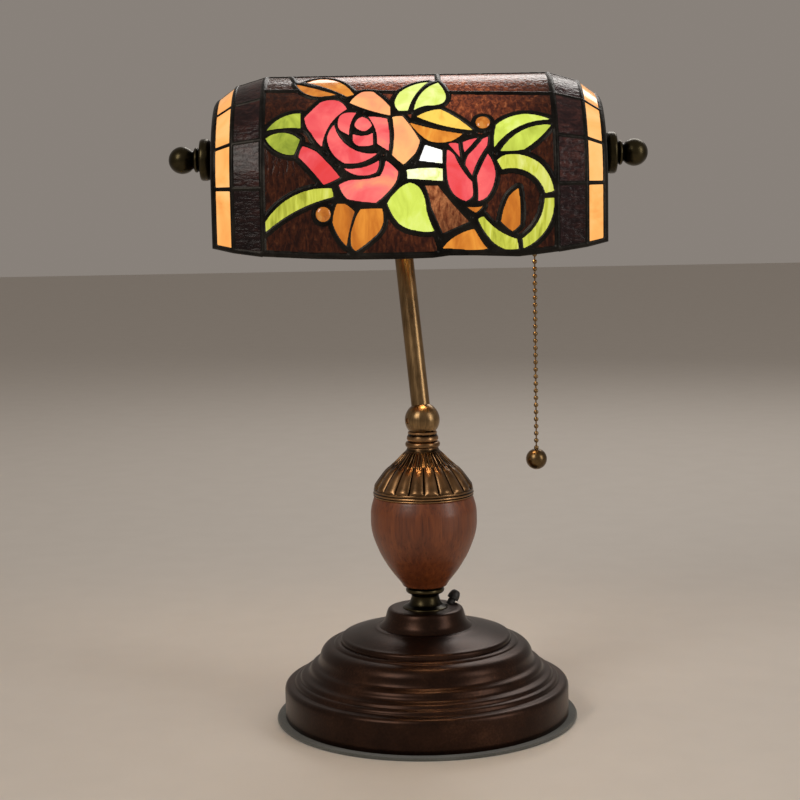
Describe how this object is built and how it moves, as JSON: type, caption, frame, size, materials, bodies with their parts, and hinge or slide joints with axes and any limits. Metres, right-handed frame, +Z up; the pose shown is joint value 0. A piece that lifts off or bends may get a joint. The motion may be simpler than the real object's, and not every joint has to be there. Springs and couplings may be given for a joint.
{
  "type": "stained glass table lamp",
  "caption": "Table lamp with a half-round leaded glass shade of roses and leaves that tilts on a swivelling brass arm, above a turned wood urn and a stepped metal base with a pull chain.",
  "frame": {"origin": "Centre of the underside of the base pad, on the table.", "axes": "+Z up the stem; +X to the right of a person who faces the picture side of the shade, along the tilting axis; the picture side faces -Y."},
  "size_m": [0.313, 0.199, 0.4217],
  "materials": {
    "pad_felt": "grey-green felt",
    "plain_steel": "zinc plated",
    "raw_iron": "raw casting",
    "bronze_paint": "satin dark bronze",
    "black_plastic": "moulded, matt",
    "dark_bronze": "darkened antique brass",
    "urn_wood": "red-brown stain, satin",
    "antique_brass": "antique, dark in the hollows",
    "brushed_brass": "brushed antique brass",
    "socket_brass": "rolled sheet brass",
    "black_rubber": "matt",
    "white_ceramic": "glazed",
    "bulb_glow": "frosted, lit",
    "rose_glass": "opalescent, lit from behind",
    "green_glass": "opalescent, lit from behind",
    "gold_glass": "streaky opalescent, lit from behind",
    "ribbon_glass": "rippled, lit from behind",
    "pale_glass": "pale opalescent, lit from behind",
    "jewel_glass": "pressed, polished",
    "dark_glass": "hammered brown cathedral glass",
    "amber_glass": "opalescent, lit from behind",
    "dark_solder": "solder over copper foil, black patina"
  },
  "bodies": {
    "stand": {"base_pad": "pad_felt", "base_plate": "plain_steel", "base_weight": "raw_iron", "base_shell": "bronze_paint", "base_boss": "bronze_paint", "cord_gland": "black_plastic", "tie_rod": "plain_steel", "rod_nuts": "plain_steel", "stem_foot": "dark_bronze", "urn": "urn_wood", "cap": "antique_brass", "neck_collar": "antique_brass"},
    "swivel": {"swivel_post": "antique_brass", "swivel_nut": "plain_steel"},
    "arm": {"knuckle_ball": "brushed_brass", "knuckle_screw": "antique_brass", "arm_tube": "brushed_brass", "arm_hub": "brushed_brass", "hub_nut": "plain_steel", "yoke": "brushed_brass", "nipples": "plain_steel", "nipple_nuts": "plain_steel", "friction_washers": "black_rubber", "socket_cap": "socket_brass", "socket_shell": "socket_brass", "socket_insert": "white_ceramic", "chain_guide": "socket_brass"},
    "bulb": {"bulb_cap": "plain_steel", "bulb_glass": "bulb_glow"},
    "shade": {"glass_rose": "rose_glass", "glass_bud": "rose_glass", "glass_green_leaves": "green_glass", "glass_gold_leaves": "gold_glass", "glass_ribbons": "ribbon_glass", "glass_accents": "pale_glass", "glass_jewels": "jewel_glass", "glass_ground": "dark_glass", "glass_back": "dark_glass", "glass_dark_strips": "dark_glass", "glass_amber_strips": "amber_glass", "glass_end_plates": "dark_glass", "leading_front": "dark_solder", "leading_back": "dark_solder", "leading_ends": "dark_solder", "shade_washers": "antique_brass"},
    "left_knob": {"finial_left": "dark_bronze"},
    "right_knob": {"finial_right": "dark_bronze"},
    "switch_chain": {"chain_top": "antique_brass"},
    "hanging_chain": {"pull_chain": "antique_brass", "chain_ball": "antique_brass"}
  },
  "joints": [
    {"name": "arm_swivel", "type": "hinge", "parent": "stand", "child": "swivel", "pos_m": [0, 0, 0.184], "axis": [0, 0, 1], "range_deg": [-160, 160]},
    {"name": "arm_tilt", "type": "hinge", "parent": "swivel", "child": "arm", "pos_m": [0, 0, 0.198], "axis": [0.8632, 0.5049, 0], "range_deg": [-12, 22]},
    {"name": "shade_tilt", "type": "hinge", "parent": "arm", "child": "shade", "pos_m": [-0.006, 0.02, 0.369], "axis": [1, 0, 0], "range_deg": [-30, 30]},
    {"name": "left_knob_turn", "type": "hinge", "parent": "arm", "child": "left_knob", "pos_m": [-0.14, 0.02, 0.369], "axis": [1, 0, 0], "continuous": true},
    {"name": "right_knob_turn", "type": "hinge", "parent": "arm", "child": "right_knob", "pos_m": [0.128, 0.02, 0.369], "axis": [1, 0, 0], "continuous": true},
    {"name": "bulb_turn", "type": "hinge", "parent": "arm", "child": "bulb", "pos_m": [0.06, 0.02, 0.369], "axis": [1, 0, 0], "continuous": true},
    {"name": "chain_pull", "type": "slide", "parent": "arm", "child": "switch_chain", "axis": [0, 0, -1], "range_m": [0, 0.008], "stiffness_N_per_m": 60},
    {"name": "chain_swing", "type": "hinge", "parent": "switch_chain", "child": "hanging_chain", "pos_m": [0.075, 0.007, 0.337], "axis": [1, 0, 0], "range_deg": [-12, 12]}
  ]
}
